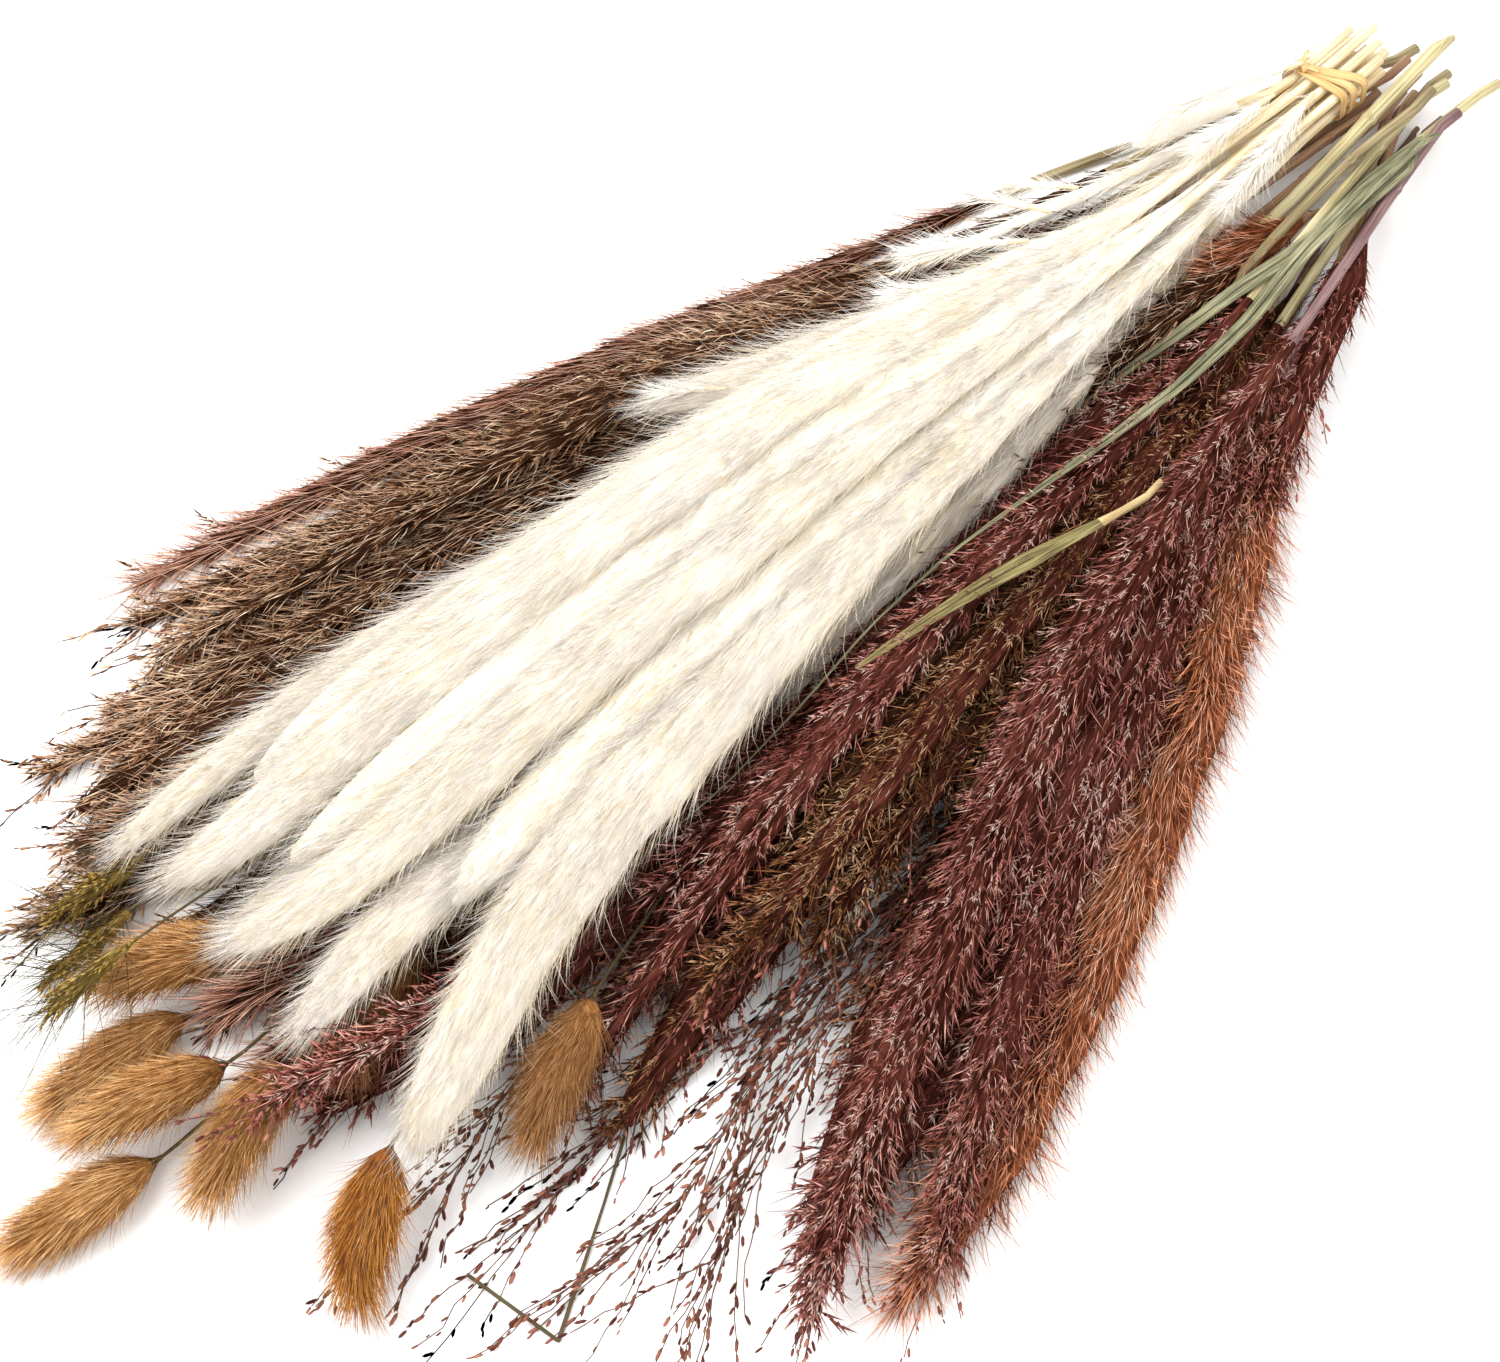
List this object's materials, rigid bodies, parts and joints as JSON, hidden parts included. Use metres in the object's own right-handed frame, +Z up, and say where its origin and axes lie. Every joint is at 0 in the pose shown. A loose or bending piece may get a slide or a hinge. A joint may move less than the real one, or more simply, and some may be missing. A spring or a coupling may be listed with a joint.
{
  "type": "dried pampas grass bouquet",
  "caption": "Dried grass bouquet lying on its side: tied cream pampas plumes over brown, mauve and rust reed plumes, bunny tails, bristly ears, seed panicles and blades.",
  "frame": {"origin": "on the surface that the bunch lies on, under the middle of its bounding box", "axes": "+X along the bunch from the plume tips to the cut ends of the stems, +Y towards the brown plumes, +Z up from the surface"},
  "size_m": [0.594, 0.33, 0.072],
  "materials": {
    "cream_plume": "soft, hairy and matt",
    "brown_plume": "curly, hairy and matt",
    "mauve_plume": "spiky and matt",
    "rust_plume": "fluffy and matt",
    "bunny_tail": "furry and matt",
    "bristle_ear": "bristly and matt",
    "seed_panicle": "dry and matt",
    "leaf": "dry, lightly ribbed",
    "straw": "dry and smooth",
    "tie": "dry raffia, matt"
  },
  "bodies": {
    "root": {"bristle_ear_01": "bristle_ear", "bristle_ear_02": "bristle_ear", "bristle_ear_03": "bristle_ear", "brown_plume_01": "brown_plume", "brown_plume_02": "brown_plume", "brown_plume_03": "brown_plume", "brown_plume_04": "brown_plume", "brown_plume_05": "brown_plume", "brown_plume_06": "brown_plume", "brown_plume_07": "brown_plume", "bunny_tail_01": "bunny_tail", "bunny_tail_02": "bunny_tail", "bunny_tail_03": "bunny_tail", "bunny_tail_04": "bunny_tail", "bunny_tail_05": "bunny_tail", "bunny_tail_06": "bunny_tail", "bunny_tail_07": "bunny_tail", "bunny_tail_08": "bunny_tail", "cream_plume_01": "cream_plume", "cream_plume_02": "cream_plume", "cream_plume_03": "cream_plume", "cream_plume_04": "cream_plume", "cream_plume_05": "cream_plume", "cream_plume_06": "cream_plume", "cream_plume_07": "cream_plume", "cream_plume_08": "cream_plume", "cream_plume_09": "cream_plume", "cream_plume_10": "cream_plume", "cream_plume_11": "cream_plume", "folded_straw": "straw", "leaf_blade_01": "leaf", "leaf_blade_02": "leaf", "leaf_blade_03": "leaf", "long_straw": "straw", "mauve_plume_01": "mauve_plume", "mauve_plume_02": "mauve_plume", "mauve_plume_03": "mauve_plume", "mauve_plume_04": "mauve_plume", "mauve_plume_05": "mauve_plume", "mauve_plume_06": "mauve_plume", "mauve_plume_07": "mauve_plume", "mauve_plume_08": "mauve_plume", "rust_plume_01": "rust_plume", "rust_plume_02": "rust_plume", "seed_panicle_01": "seed_panicle", "seed_panicle_02": "seed_panicle", "seed_panicle_03": "seed_panicle", "seed_panicle_04": "seed_panicle", "tie_band": "tie"}
  },
  "joints": []
}
